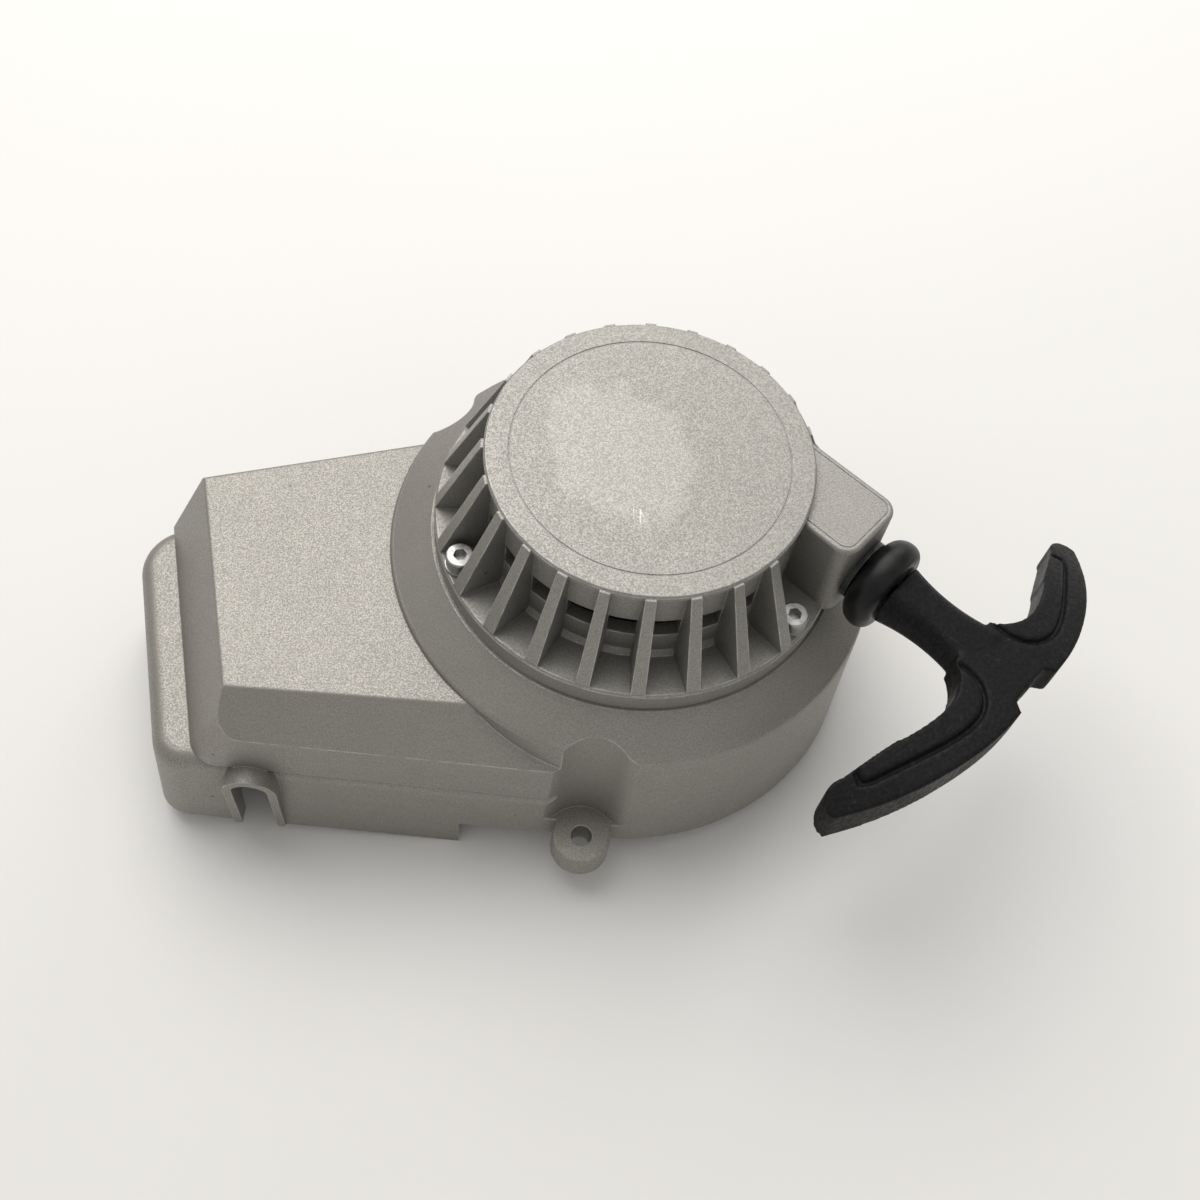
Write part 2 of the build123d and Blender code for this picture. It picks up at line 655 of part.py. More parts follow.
turn_zs = (ROPE_Z, ROPE_Z - 3.9)
with BuildPart() as rope_winding:
    with BuildSketch(Plane.XZ):
        with Locations(((REEL_HUB_R + 0.1 + WINDING_R - 1) / 2, ROPE_Z - 1.95)):
            RectangleRounded(WINDING_R - 1 - REEL_HUB_R - 0.1, 7.4, 0.8)
        with Locations(*[(WINDING_R, z) for z in turn_zs]):
            Circle(ROPE_R)
    revolve(axis=Axis.Z)
rope_winding.part.label = "rope_winding"
export_step(rope_winding.part, "parts/rope_winding.step")

# ---------------------------------------------------------------- reel
HUB_TOP_Z = 79.3
HUB_LOW_Z = POST_END_Z + 0.3
BOSS_TOP_R = 9.2
KNOT_ANGLE = 120.0
KNOT_R = 11.2
CUP_HOLE_R = 11.6
RIVET_CIRCLE_R = 18.0
RIVET_ANGLE = 30.0
RIVET_HOLE_R = 1.5
with BuildPart() as reel:
    with BuildSketch(Plane.XZ):
        Polygon(
            (REEL_BORE_R, HUB_LOW_Z),
            (CUP_HOLE_R - 0.2, HUB_LOW_Z),
            (CUP_HOLE_R - 0.2, REEL_LOW_Z),
            (REEL_R, REEL_LOW_Z),
            (REEL_R, REEL_LOW_Z + 1.6),
            (26.0, GROOVE_LOW_Z),
            (REEL_HUB_R, GROOVE_LOW_Z),
            (REEL_HUB_R, GROOVE_HIGH_Z),
            (26.0, GROOVE_HIGH_Z),
            (REEL_R, GROOVE_HIGH_Z + 0.5),
            (REEL_R, REEL_HIGH_Z),
            (BOSS_TOP_R, REEL_HIGH_Z),
            (BOSS_TOP_R, HUB_TOP_Z),
            (REEL_BORE_R, HUB_TOP_Z),
            align=None,
        )
    revolve(axis=Axis.Z)
    # slot for the spring's inner hook
    with BuildSketch(Plane.XY.offset(STEP_Z)):
        with Locations((BOSS_TOP_R - 0.6, 0)):
            Rectangle(2.2, 1.0)
    extrude(amount=10, mode=Mode.SUBTRACT)
    # pocket for the rope's inner knot
    with BuildSketch(Plane.XY.offset(GROOVE_LOW_Z + 1)):
        with Locations(polar(KNOT_R, KNOT_ANGLE)):
            Circle(3.0)
    extrude(amount=20, mode=Mode.SUBTRACT)
    # rivet holes in the lower cheek
    with BuildSketch(Plane.XY.offset(REEL_LOW_Z - 1)):
        with PolarLocations(RIVET_CIRCLE_R, 3, RIVET_ANGLE):
            Circle(RIVET_HOLE_R)
    extrude(amount=6, mode=Mode.SUBTRACT)
reel.part.label = "reel"
export_step(reel.part, "parts/reel.step")

with BuildPart() as reel_knot:
    for z in (ROPE_Z - 2.4, ROPE_Z + 0.4):
        with Locations((*polar(KNOT_R, KNOT_ANGLE), z)):
            Sphere(2.7)
reel_knot.part.label = "reel_knot"
export_step(reel_knot.part, "parts/reel_knot.step")

# ---------------------------------------------------------------- catch cup and rivets
CUP_R = 25.0
CUP_SHEET = 1.5
CUP_LOW_Z = 44.0
with BuildPart() as catch_cup:
    with BuildSketch(Plane.XY.offset(CUP_LOW_Z)):
        Circle(CUP_R)
    extrude(amount=REEL_LOW_Z - CUP_LOW_Z)
    fillet(catch_cup.faces().sort_by(Axis.Z)[-1].edges(), radius=2.5)
    with BuildSketch(Plane.XY.offset(CUP_LOW_Z - 1)):
        Circle(CUP_R - CUP_SHEET)
    extrude(amount=REEL_LOW_Z - CUP_LOW_Z + 1 - CUP_SHEET, mode=Mode.SUBTRACT)
    with BuildSketch(Plane.XY.offset(CUP_LOW_Z)):
        Circle(CUP_HOLE_R)
    extrude(amount=REEL_LOW_Z, mode=Mode.SUBTRACT)
    # windows that the flywheel's pawls drop into
    with BuildSketch(Plane.XY.offset(CUP_LOW_Z + 3)):
        with PolarLocations(CUP_R, 4, 15):
            Rectangle(6, 11)
    extrude(amount=7, mode=Mode.SUBTRACT)
    with BuildSketch(Plane.XY.offset(REEL_LOW_Z - 3)):
        with PolarLocations(RIVET_CIRCLE_R, 3, RIVET_ANGLE):
            Circle(RIVET_HOLE_R)
    extrude(amount=6, mode=Mode.SUBTRACT)
catch_cup.part.label = "catch_cup"
export_step(catch_cup.part, "parts/catch_cup.step")

with BuildPart() as cup_rivets:
    with BuildSketch(Plane.XY.offset(REEL_LOW_Z - CUP_SHEET - 1.0)):
        with PolarLocations(RIVET_CIRCLE_R, 3, RIVET_ANGLE):
            Circle(2.6)
    extrude(amount=1.0)
    with BuildSketch(Plane.XY.offset(REEL_LOW_Z - CUP_SHEET)):
        with PolarLocations(RIVET_CIRCLE_R, 3, RIVET_ANGLE):
            Circle(RIVET_HOLE_R - 0.02)
    extrude(amount=CUP_SHEET + 2)
cup_rivets.part.label = "cup_rivets"
export_step(cup_rivets.part, "parts/cup_rivets.step")

# ---------------------------------------------------------------- centre post fittings
with BuildPart() as post_bush:
    with BuildSketch(Plane.XY.offset(POST_END_Z + 0.05)):
        Circle(BUSH_R)
        Circle(POST_R + 0.02, mode=Mode.SUBTRACT)
    extrude(amount=ROOF_Z - POST_END_Z - 0.1)
post_bush.part.label = "post_bush"
export_step(post_bush.part, "parts/post_bush.step")

with BuildPart() as reel_washer:
    with BuildSketch(Plane.XY.offset(POST_END_Z - 1.2)):
        Circle(10.6)
        Circle(2.7, mode=Mode.SUBTRACT)
    extrude(amount=1.2)
reel_washer.part.label = "reel_washer"
export_step(reel_washer.part, "parts/reel_washer.step")

with BuildPart() as reel_screw:
    with BuildSketch(Plane.XY.offset(POST_END_Z - 1.2 - 3.4)):
        Circle(4.6)
    extrude(amount=3.4)
    fillet(reel_screw.faces().sort_by(Axis.Z)[0].edges(), radius=1.2)
    with BuildSketch(Plane.XY.offset(POST_END_Z - 1.2)):
        Circle(2.45)
    extrude(amount=14)
    with BuildSketch(Plane.XY.offset(POST_END_Z - 1.2 - 3.4)):
        Rectangle(6.0, 1.2)
        Rectangle(1.2, 6.0)
    extrude(amount=1.8, mode=Mode.SUBTRACT)
reel_screw.part.label = "reel_screw"
export_step(reel_screw.part, "parts/reel_screw.step")

# ---------------------------------------------------------------- recoil spring and its plate
STRIP = 0.6
SPRING_LOW_Z = STEP_Z + 0.6
SPRING_HEIGHT = 6.0
SPRING_START_R = 10.6
SPRING_GROWTH = 1.25
HALF_TURNS = 15


def spiral_edge(offset):
    """Half circles on two alternating centres, growing outwards; returns its last point."""
    x = SPRING_START_R + offset
    side = 1
    for turn in range(HALF_TURNS):
        radius = SPRING_START_R + turn * SPRING_GROWTH + offset
        centre = side * (x * side - radius)
        ThreePointArc((x, 0), (centre, side * radius), (centre - side * radius, 0))
        x = centre - side * radius
        side = -side
    return (x, 0)


with BuildPart() as recoil_spring:
    with BuildSketch(Plane.XY.offset(SPRING_LOW_Z)):
        with BuildLine():
            outer_end = spiral_edge(STRIP / 2)
            inner_end = spiral_edge(-STRIP / 2)
            Line(outer_end, inner_end)
            Line((SPRING_START_R + STRIP / 2, 0), (SPRING_START_R - STRIP / 2, 0))
        make_face()
    extrude(amount=SPRING_HEIGHT)
recoil_spring.part.label = "recoil_spring"
export_step(recoil_spring.part, "parts/recoil_spring.step")

with BuildPart() as spring_anchor_pin:
    with BuildSketch(Plane.XY.offset(SPRING_LOW_Z)):
        with Locations(polar(ANCHOR_PIN_R, ANCHOR_PIN_ANGLE)):
            Circle(PIN_HOLE_R - 0.02)
    extrude(amount=ROOF_Z + 2 - SPRING_LOW_Z)
spring_anchor_pin.part.label = "spring_anchor_pin"
export_step(spring_anchor_pin.part, "parts/spring_anchor_pin.step")

with BuildPart() as spring_plate:
    with BuildSketch(Plane.XY.offset(STEP_Z - 0.8)):
        Circle(CAP_INNER_R - 0.05)
        Circle(BOSS_TOP_R + 0.5, mode=Mode.SUBTRACT)
    extrude(amount=0.8)
spring_plate.part.label = "spring_plate"
export_step(spring_plate.part, "parts/spring_plate.step")
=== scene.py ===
import json
import math

import bpy
import numpy as np
from mathutils import Matrix, Vector


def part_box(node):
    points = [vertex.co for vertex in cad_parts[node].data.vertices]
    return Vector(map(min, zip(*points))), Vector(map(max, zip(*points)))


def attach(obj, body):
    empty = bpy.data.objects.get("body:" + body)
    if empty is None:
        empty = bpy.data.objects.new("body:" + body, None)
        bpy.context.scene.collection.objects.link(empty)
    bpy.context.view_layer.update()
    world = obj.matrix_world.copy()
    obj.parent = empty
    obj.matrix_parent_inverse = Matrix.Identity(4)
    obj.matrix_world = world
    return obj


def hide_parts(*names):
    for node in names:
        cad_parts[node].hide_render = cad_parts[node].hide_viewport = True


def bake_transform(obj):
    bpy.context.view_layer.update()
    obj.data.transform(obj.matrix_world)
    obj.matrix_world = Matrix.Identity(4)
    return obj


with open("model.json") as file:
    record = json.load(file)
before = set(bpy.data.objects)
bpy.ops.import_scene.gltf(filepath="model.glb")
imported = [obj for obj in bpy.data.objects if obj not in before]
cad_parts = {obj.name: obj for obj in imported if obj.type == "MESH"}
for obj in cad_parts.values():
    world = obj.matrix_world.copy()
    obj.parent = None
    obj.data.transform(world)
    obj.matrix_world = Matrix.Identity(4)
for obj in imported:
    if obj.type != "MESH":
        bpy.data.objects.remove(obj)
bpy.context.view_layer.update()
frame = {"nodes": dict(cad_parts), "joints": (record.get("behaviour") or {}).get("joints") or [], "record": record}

# Recoil starter. Metres, +Z out along the crankshaft, duct towards -X.
MM = 0.001
NODES = frame["nodes"]
JOINTS = {joint["name"]: joint for joint in frame["joints"]}

# ---------------------------------------------------------------- places read from the frame
cap_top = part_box("starter_cap")[1].z
skirt_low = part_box("fan_housing")[0]
ear_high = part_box("fan_housing")[1]
pull = Vector(JOINTS["handle_pull"]["axis"])
across = Vector((-pull.y, pull.x, 0))
rope_point = Vector(JOINTS["handle_twist"]["pos_m"])
rope_origin = rope_point - pull * rope_point.dot(pull)


def rope_distance(point):
    """How far a point lies along the rope line."""
    return (Vector(point) - rope_origin).dot(pull)


def on_rope(distance):
    return rope_origin + pull * distance


# ---------------------------------------------------------------- camera and floor
AZIMUTH = math.radians(-20.5)
ELEVATION = math.radians(59.24)
ROLL = math.radians(10.47)
CAMERA_DISTANCE = 335.24 * MM
AIM_RIGHT = -5.72 * MM
AIM_AWAY = -42.6 * MM
LENS = 45
SENSOR_WIDTH = 36
CLIP_START = 0.01


def make_camera():
    """Camera from its bearing, height and roll; returns the level directions to its right and away."""
    right = Vector((math.cos(AZIMUTH), math.sin(AZIMUTH), 0))
    away = Vector((-math.sin(AZIMUTH), math.cos(AZIMUTH), 0))
    forward = away * math.cos(ELEVATION) - Vector((0, 0, math.sin(ELEVATION)))
    upward = away * math.sin(ELEVATION) + Vector((0, 0, math.cos(ELEVATION)))
    camera_right = right * math.cos(ROLL) + upward * math.sin(ROLL)
    camera_up = upward * math.cos(ROLL) - right * math.sin(ROLL)
    aim = Vector((0, 0, cap_top)) + right * AIM_RIGHT + away * AIM_AWAY
    camera = bpy.data.objects.new("camera", bpy.data.cameras.new("camera"))
    camera.data.lens = LENS
    camera.data.sensor_width = SENSOR_WIDTH
    camera.data.clip_start = CLIP_START
    turn = Matrix((camera_right, camera_up, -forward)).transposed().to_4x4()
    camera.matrix_world = Matrix.Translation(aim - forward * CAMERA_DISTANCE) @ turn
    bpy.context.scene.collection.objects.link(camera)
    bpy.context.scene.camera = camera
    return right, away


view_right, view_away = make_camera()


def link_mesh(name, vertices, faces):
    """Smooth-shaded object in the scene from plain vertices and faces."""
    mesh = bpy.data.meshes.new(name)
    mesh.from_pydata([tuple(v) for v in vertices], [], faces)
    mesh.update()
    mesh.polygons.foreach_set("use_smooth", [True] * len(mesh.polygons))
    obj = bpy.data.objects.new(name, mesh)
    bpy.context.scene.collection.objects.link(obj)
    return obj


FLOOR_HALF = 4.0
FLOOR_GAP = 0.2 * MM
SAME_LEVEL = 0.05 * MM


def make_floor():
    """Floor through the two places that the part rests on: the skirt's near corner and the far ear."""
    housing = NODES["fan_housing"].data
    lowest = [v.co.x for v in housing.vertices if v.co.z < skirt_low.z + SAME_LEVEL]
    corner_x = max(lowest)
    slope = -skirt_low.z / (ear_high.x - corner_x)
    height = skirt_low.z - slope * corner_x - FLOOR_GAP
    signs = ((-1, -1), (1, -1), (1, 1), (-1, 1))
    corners = [(a * FLOOR_HALF, b * FLOOR_HALF, height + slope * a * FLOOR_HALF) for a, b in signs]
    made = link_mesh("floor", corners, [(0, 1, 2, 3)])
    return made


floor = make_floor()


# ---------------------------------------------------------------- material helpers
class Nodes:
    """A material's node tree, with short calls for the nodes used here."""

    def __init__(self, name):
        self.material = bpy.data.materials.new(name)
        self.material.use_nodes = True
        self.tree = self.material.node_tree
        self.shader = self.tree.nodes["Principled BSDF"]
        self.coords = self.add("ShaderNodeTexCoord").outputs["Object"]

    def add(self, kind, **settings):
        node = self.tree.nodes.new(kind)
        for key, value in settings.items():
            setattr(node, key, value)
        return node

    def put(self, value, socket):
        if isinstance(value, bpy.types.NodeSocket):
            self.tree.links.new(value, socket)
        else:
            socket.default_value = value

    def math(self, operation, a, b=0.0, clamp=False):
        node = self.add("ShaderNodeMath", operation=operation, use_clamp=clamp)
        self.put(a, node.inputs[0])
        self.put(b, node.inputs[1])
        return node.outputs[0]

    def noise(self, per_mm, detail=2.0, roughness=0.5, stretch=(1, 1, 1), seed=0.0):
        """Noise whose scale is given in features per millimetre; a stretch below 1 draws it out."""
        mapping = self.add("ShaderNodeMapping")
        self.put(self.coords, mapping.inputs["Vector"])
        mapping.inputs["Location"].default_value = (seed, seed * 0.7, seed * 1.3)
        mapping.inputs["Scale"].default_value = tuple(per_mm / MM * s for s in stretch)
        node = self.add("ShaderNodeTexNoise")
        self.put(mapping.outputs[0], node.inputs["Vector"])
        node.inputs["Scale"].default_value = 1.0
        node.inputs["Detail"].default_value = detail
        node.inputs["Roughness"].default_value = roughness
        return node.outputs["Fac"]

    def cells(self, per_mm, seed=0.0):
        """Distance to the nearest of scattered points, given in points per millimetre."""
        mapping = self.add("ShaderNodeMapping")
        self.put(self.coords, mapping.inputs["Vector"])
        mapping.inputs["Location"].default_value = (seed, seed, seed)
        mapping.inputs["Scale"].default_value = (per_mm / MM, per_mm / MM, per_mm / MM)
        node = self.add("ShaderNodeTexVoronoi")
        self.put(mapping.outputs[0], node.inputs["Vector"])
        node.inputs["Scale"].default_value = 1.0
        return node.outputs["Distance"]

    def ramp(self, value, low, high, start=0.0, end=1.0):
        """Smooth step of value from low..high to start..end, held at both ends."""
        node = self.add("ShaderNodeMapRange", interpolation_type="SMOOTHSTEP")
        self.put(value, node.inputs["Value"])
        for key, number in (("From Min", low), ("From Max", high), ("To Min", start), ("To Max", end)):
            self.put(number, node.inputs[key])
        return node.outputs[0]

    def mix(self, share, a, b, blend="MIX"):
        node = self.add("ShaderNodeMix", data_type="RGBA", blend_type=blend)
        self.put(share, node.inputs[0])
        for value, socket in ((a, node.inputs[6]), (b, node.inputs[7])):
            self.put((*value, 1.0) if isinstance(value, tuple) and len(value) == 3 else value, socket)
        return node.outputs[2]

    def bump(self, height, distance, strength=1.0, normal=None):
        node = self.add("ShaderNodeBump")
        node.inputs["Strength"].default_value = strength
        node.inputs["Distance"].default_value = distance
        self.put(height, node.inputs["Height"])
        if normal is not None:
            self.put(normal, node.inputs["Normal"])
        return node.outputs[0]

    def separate(self, vector):
        node = self.add("ShaderNodeSeparateXYZ")
        self.put(vector, node.inputs[0])
        return node.outputs

    def edges(self, radius):
        """1 along outer edges, 0 on open faces and in corners, and the rounded normal."""
        rounded = self.add("ShaderNodeBevel", samples=4)
        rounded.inputs["Radius"].default_value = radius
        geometry = self.add("ShaderNodeNewGeometry")
        dot = self.add("ShaderNodeVectorMath", operation="DOT_PRODUCT")
        self.put(rounded.outputs[0], dot.inputs[0])
        self.put(geometry.outputs["Normal"], dot.inputs[1])
        edge = self.ramp(dot.outputs["Value"], 0.995, 0.90)
        open_air = self.add("ShaderNodeAmbientOcclusion", samples=4)
        open_air.inputs["Distance"].default_value = radius * 3
        outer = self.ramp(open_air.outputs["AO"], 0.55, 0.85)
        return self.math("MULTIPLY", edge, outer), rounded.outputs[0]

    def finish(self, color, roughness, normal=None, **sockets):
        self.put(color, self.shader.inputs["Base Color"])
        self.put(roughness, self.shader.inputs["Roughness"])
        if normal is not None:
            self.put(normal, self.shader.inputs["Normal"])
        for key, value in sockets.items():
            self.shader.inputs[key.replace("_", " ")].default_value = value
        return self.material


# ---------------------------------------------------------------- materials
RUBBED_METAL = (0.83, 0.82, 0.80)
BARE_FLAKE = (0.80, 0.79, 0.76)
SCRATCH = (0.80, 0.79, 0.77)
PIT = (0.08, 0.075, 0.07)
CROWN_FADE = (1.2 * MM, 0.4 * MM)
PATCH_CENTRE = (-8.5 * MM, 1.5 * MM, cap_top)
PATCH_RAGGED = 30 * MM
PATCH_FADE = (34.5 * MM, 30 * MM)
CAST_EDGE = 0.45 * MM
CAST_BUMP = 0.032 * MM
# reach of the painted shade in hollows
PAINTED_SHADE_REACH = 6 * MM


def shade(color, factor):
    """A colour made darker or lighter, held at white."""
    return tuple(min(1.0, c * factor) for c in color)


def floor_material():
    n = Nodes("floor_paper")
    cloud = n.noise(0.004, detail=3)
    color = n.mix(cloud, (0.82, 0.812, 0.795), (0.86, 0.852, 0.838))
    return n.finish(color, 0.75, n.bump(n.noise(1.5, detail=2), 0.00002))


def crown_marks(n, color, base):
    """A paler handled patch on the cap's crown, cloudy at its edge, and fine scratches."""
    height = n.separate(n.coords)[2]
    top = n.ramp(height, cap_top - CROWN_FADE[0], cap_top - CROWN_FADE[1])
    radial = n.add("ShaderNodeVectorMath", operation="DISTANCE")
    n.put(n.coords, radial.inputs[0])
    radial.inputs[1].default_value = PATCH_CENTRE
    cloudy = n.math("MULTIPLY", n.noise(0.075, detail=4, seed=21.0), PATCH_RAGGED)
    ragged = n.math("ADD", radial.outputs["Value"], cloudy)
    patch = n.math("MULTIPLY", n.ramp(ragged, *PATCH_FADE), top)
    color = n.mix(n.math("MULTIPLY", patch, 0.40), color, shade(base, 1.34))
    scratch = n.noise(0.35, detail=1, stretch=(1.0, 0.08, 1.0), seed=31.0)
    from_middle = n.math("ABSOLUTE", n.math("SUBTRACT", scratch, 0.5))
    thin = n.math("MULTIPLY", n.ramp(from_middle, 0.006, 0.001), top)
    broken = n.math("MULTIPLY", thin, n.ramp(n.noise(0.05, seed=41.0), 0.60, 0.68))
    return n.mix(n.math("MULTIPLY", broken, 0.5), color, SCRATCH)


def cast_material(name, base, crown=False):
    """Silver paint on a die casting: sparkling grain, mottling, streaked walls, bright rubbed edges, painted shade
    in hollows.
    """
    n = Nodes(name)
    grain = n.noise(2.6, detail=2, roughness=0.6)
    coarse = n.noise(1.2, detail=2, seed=3.0)
    mottle = n.noise(0.11, detail=3, seed=7.0)
    cloud = n.noise(0.018, detail=2, seed=11.0)
    dark = shade(base, 0.84)
    light = shade(base, 1.12)
    color = n.mix(n.ramp(grain, 0.30, 0.70), dark, light)
    color = n.mix(n.ramp(mottle, 0.35, 0.7, 0.0, 0.22), color, dark)
    color = n.mix(n.ramp(cloud, 0.4, 0.65, 0.0, 0.18), color, shade(base, 1.1))

    # walls carry faint level streaks from the mould's draft
    normal_z = n.separate(n.add("ShaderNodeNewGeometry").outputs["Normal"])[2]
    wall = n.ramp(n.math("ABSOLUTE", normal_z), 0.45, 0.15)
    streak = n.noise(0.9, detail=3, stretch=(0.03, 0.03, 1.0), seed=5.0)
    streak_share = n.math("MULTIPLY", n.ramp(streak, 0.52, 0.75), wall)
    color = n.mix(n.math("MULTIPLY", streak_share, 0.35), color, light)

    # bright flakes
    flake_distance = n.cells(1.7, seed=2.0)
    flakes = n.math("MULTIPLY", n.ramp(flake_distance, 0.20, 0.08), n.ramp(grain, 0.52, 0.68))
    color = n.mix(n.math("MULTIPLY", flakes, 0.55), color, BARE_FLAKE)

    # pits and dark specks
    speck_distance = n.cells(0.065, seed=9.0)
    specks = n.ramp(speck_distance, 0.045, 0.02)
    color = n.mix(n.math("MULTIPLY", specks, 0.6), color, PIT)

    if crown:
        color = crown_marks(n, color, base)

    edge, rounded = n.edges(CAST_EDGE)
    wear = n.ramp(n.noise(0.28, detail=3, seed=15.0), 0.36, 0.58, 0.25, 1.0)
    rubbed = n.math("MULTIPLY", edge, wear)
    color = n.mix(n.math("MULTIPLY", rubbed, 0.75), color, RUBBED_METAL)

    # painted shade: the colour darkens towards a dark tone of the paint in hollows and corners, where ambient
    # occlusion finds nearby surfaces
    hollow = n.add("ShaderNodeAmbientOcclusion", samples=4)
    hollow.inputs["Distance"].default_value = PAINTED_SHADE_REACH
    painted_shade = n.ramp(hollow.outputs["AO"], 0.85, 0.35, 0.0, 0.35)
    color = n.mix(painted_shade, color, shade(base, 0.45))

    roughness = n.math("ADD", n.ramp(grain, 0.3, 0.7, 0.62, 0.42), n.math("MULTIPLY", rubbed, -0.12))
    height = n.math("ADD", grain, n.math("MULTIPLY", coarse, 0.8))
    normal = n.bump(height, CAST_BUMP, 1.0, rounded)
    return n.finish(color, roughness, normal, Metallic=0.72, Specular_IOR_Level=0.5)


def zinc_material(name, tint=(0.50, 0.50, 0.49), rough=0.30):
    """Zinc plate over turned steel."""
    n = Nodes(name)
    fine = n.noise(1.2, detail=3, stretch=(1, 1, 4.0))
    cloudy = n.noise(0.35, detail=3, seed=4.0)
    color = n.mix(n.ramp(cloudy, 0.35, 0.7), tint, shade(tint, 0.72))
    edge, rounded = n.edges(0.12 * MM)
    color = n.mix(n.math("MULTIPLY", edge, 0.5), color, (0.8, 0.8, 0.8))
    roughness = n.ramp(fine, 0.3, 0.7, rough, rough + 0.16)
    return n.finish(color, roughness, n.bump(fine, 0.012 * MM, 1.0, rounded), Metallic=1.0)


def bronze_material():
    n = Nodes("oiled_bronze")
    pores = n.noise(2.2, detail=2)
    color = n.mix(n.ramp(pores, 0.35, 0.65), (0.30, 0.19, 0.09), (0.52, 0.36, 0.17))
    return n.finish(color, n.ramp(pores, 0.3, 0.7, 0.3, 0.5), n.bump(pores, 0.03 * MM), Metallic=1.0)


def spring_material():
    """Blued strip with a film of grease."""
    n = Nodes("blued_spring_steel")
    film = n.noise(0.12, detail=4, seed=3.0)
    scale = n.noise(1.5, detail=2, stretch=(1, 1, 0.15))
    color = n.mix(n.ramp(film, 0.35, 0.65), (0.10, 0.11, 0.15), (0.23, 0.20, 0.17))
    color = n.mix(n.ramp(scale, 0.55, 0.75, 0.0, 0.4), color, (0.33, 0.34, 0.37))
    roughness = n.ramp(film, 0.3, 0.7, 0.25, 0.5)
    normal = n.bump(scale, 0.02 * MM)
    return n.finish(color, roughness, normal, Metallic=1.0, Coat_Weight=0.35, Coat_Roughness=0.2)


def nylon_material():
    """Glass-filled nylon: dark grey, with pale fibre flecks and flow marks."""
    n = Nodes("reel_nylon")
    flow = n.noise(0.09, detail=3, stretch=(1, 1, 0.4))
    flecks = n.noise(2.4, detail=1, stretch=(1.0, 0.2, 1.0), seed=8.0)
    color = n.mix(n.ramp(flow, 0.35, 0.7), (0.085, 0.084, 0.083), (0.125, 0.123, 0.12))
    color = n.mix(n.ramp(flecks, 0.60, 0.76, 0.0, 0.35), color, (0.25, 0.245, 0.24))
    return n.finish(color, n.ramp(flow, 0.3, 0.7, 0.42, 0.55), n.bump(flecks, 0.02 * MM))


def acetal_material():
    n = Nodes("black_acetal")
    fine = n.noise(2.0, detail=2)
    worn = n.noise(0.4, detail=3, seed=6.0)
    color = n.mix(n.ramp(worn, 0.45, 0.7), (0.018, 0.018, 0.019), (0.05, 0.05, 0.05))
    return n.finish(color, n.ramp(worn, 0.3, 0.7, 0.3, 0.5), n.bump(fine, 0.015 * MM))


def rubber_material():
    """Smooth moulded rubber with a dusty bloom."""
    n = Nodes("black_rubber")
    bloom = n.noise(0.22, detail=4, seed=5.0)
    dust = n.noise(2.6, detail=2, seed=2.0)
    color = n.mix(n.ramp(bloom, 0.35, 0.7), (0.004, 0.004, 0.0045), (0.010, 0.010, 0.010))
    color = n.mix(n.ramp(dust, 0.66, 0.8, 0.0, 0.35), color, (0.13, 0.125, 0.12))
    roughness = n.ramp(bloom, 0.3, 0.7, 0.30, 0.48)
    return n.finish(color, roughness, n.bump(dust, 0.02 * MM), Specular_IOR_Level=0.3)


def plastic_material():
    """Black moulded plastic: open grain, grey scuffs, a faint painted highlight along the edges."""
    n = Nodes("black_plastic")
    grain = n.noise(1.1, detail=4, roughness=0.65, stretch=(1, 1, 0.5))
    scuff = n.noise(0.5, detail=4, roughness=0.7, seed=4.0)
    wide = n.noise(0.06, detail=2, seed=9.0)
    color = n.mix(n.ramp(grain, 0.35, 0.7), (0.006, 0.006, 0.0065), (0.014, 0.013, 0.0135))
    color = n.mix(n.ramp(scuff, 0.58, 0.78, 0.0, 0.55), color, (0.045, 0.042, 0.040))
    edge, rounded = n.edges(0.5 * MM)
    # painted highlight: a faint grey band along the outer edges
    color = n.mix(n.math("MULTIPLY", edge, 0.35), color, (0.10, 0.10, 0.10))
    roughness = n.math("ADD", n.ramp(grain, 0.3, 0.7, 0.55, 0.36), n.ramp(wide, 0.3, 0.7, -0.06, 0.06))
    height = n.math("ADD", grain, n.math("MULTIPLY", scuff, 0.7))
    normal = n.bump(height, 0.09 * MM, 1.0, rounded)
    return n.finish(color, roughness, normal, Specular_IOR_Level=0.12)


BRAID_PITCH = 3.4 * MM
BRAID_STRANDS = 8


def rope_material():
    """Black braid laid out along and around the rope line, so that it keeps its pitch at any pull."""
    n = Nodes("rope_braid")
    offset = n.add("ShaderNodeVectorMath", operation="SUBTRACT")
    n.put(n.coords, offset.inputs[0])
    offset.inputs[1].default_value = rope_origin
    along = n.add("ShaderNodeVectorMath", operation="DOT_PRODUCT")
    n.put(offset.outputs[0], along.inputs[0])
    along.inputs[1].default_value = pull
    side = n.add("ShaderNodeVectorMath", operation="DOT_PRODUCT")
    n.put(offset.outputs[0], side.inputs[0])
    side.inputs[1].default_value = across
    height = n.separate(offset.outputs[0])[2]
    angle = n.math("MULTIPLY", n.math("ARCTAN2", height, side.outputs["Value"]), BRAID_STRANDS / 2)
    turns = n.math("MULTIPLY", along.outputs["Value"], 2 * math.pi / BRAID_PITCH)
    right_lay = n.math("SINE", n.math("ADD", angle, turns))
    left_lay = n.math("SINE", n.math("SUBTRACT", angle, turns))
    weave = n.math("MULTIPLY", right_lay, left_lay)
    strand = n.ramp(n.math("ABSOLUTE", weave), 0.0, 0.5)
    fibre = n.noise(3.0, detail=3, stretch=(1, 1, 1))
    # painted shade: the grooves between the strands are coloured near-black, while the strand crowns keep the
    # rope's own black
    color = n.mix(strand, (0.004, 0.004, 0.004), (0.035, 0.034, 0.036))
    color = n.mix(n.ramp(fibre, 0.55, 0.75, 0.0, 0.5), color, (0.075, 0.072, 0.07))
    shape = n.math("ADD", strand, n.math("MULTIPLY", fibre, 0.3))
    return n.finish(color, 0.62, n.bump(shape, 0.35 * MM))


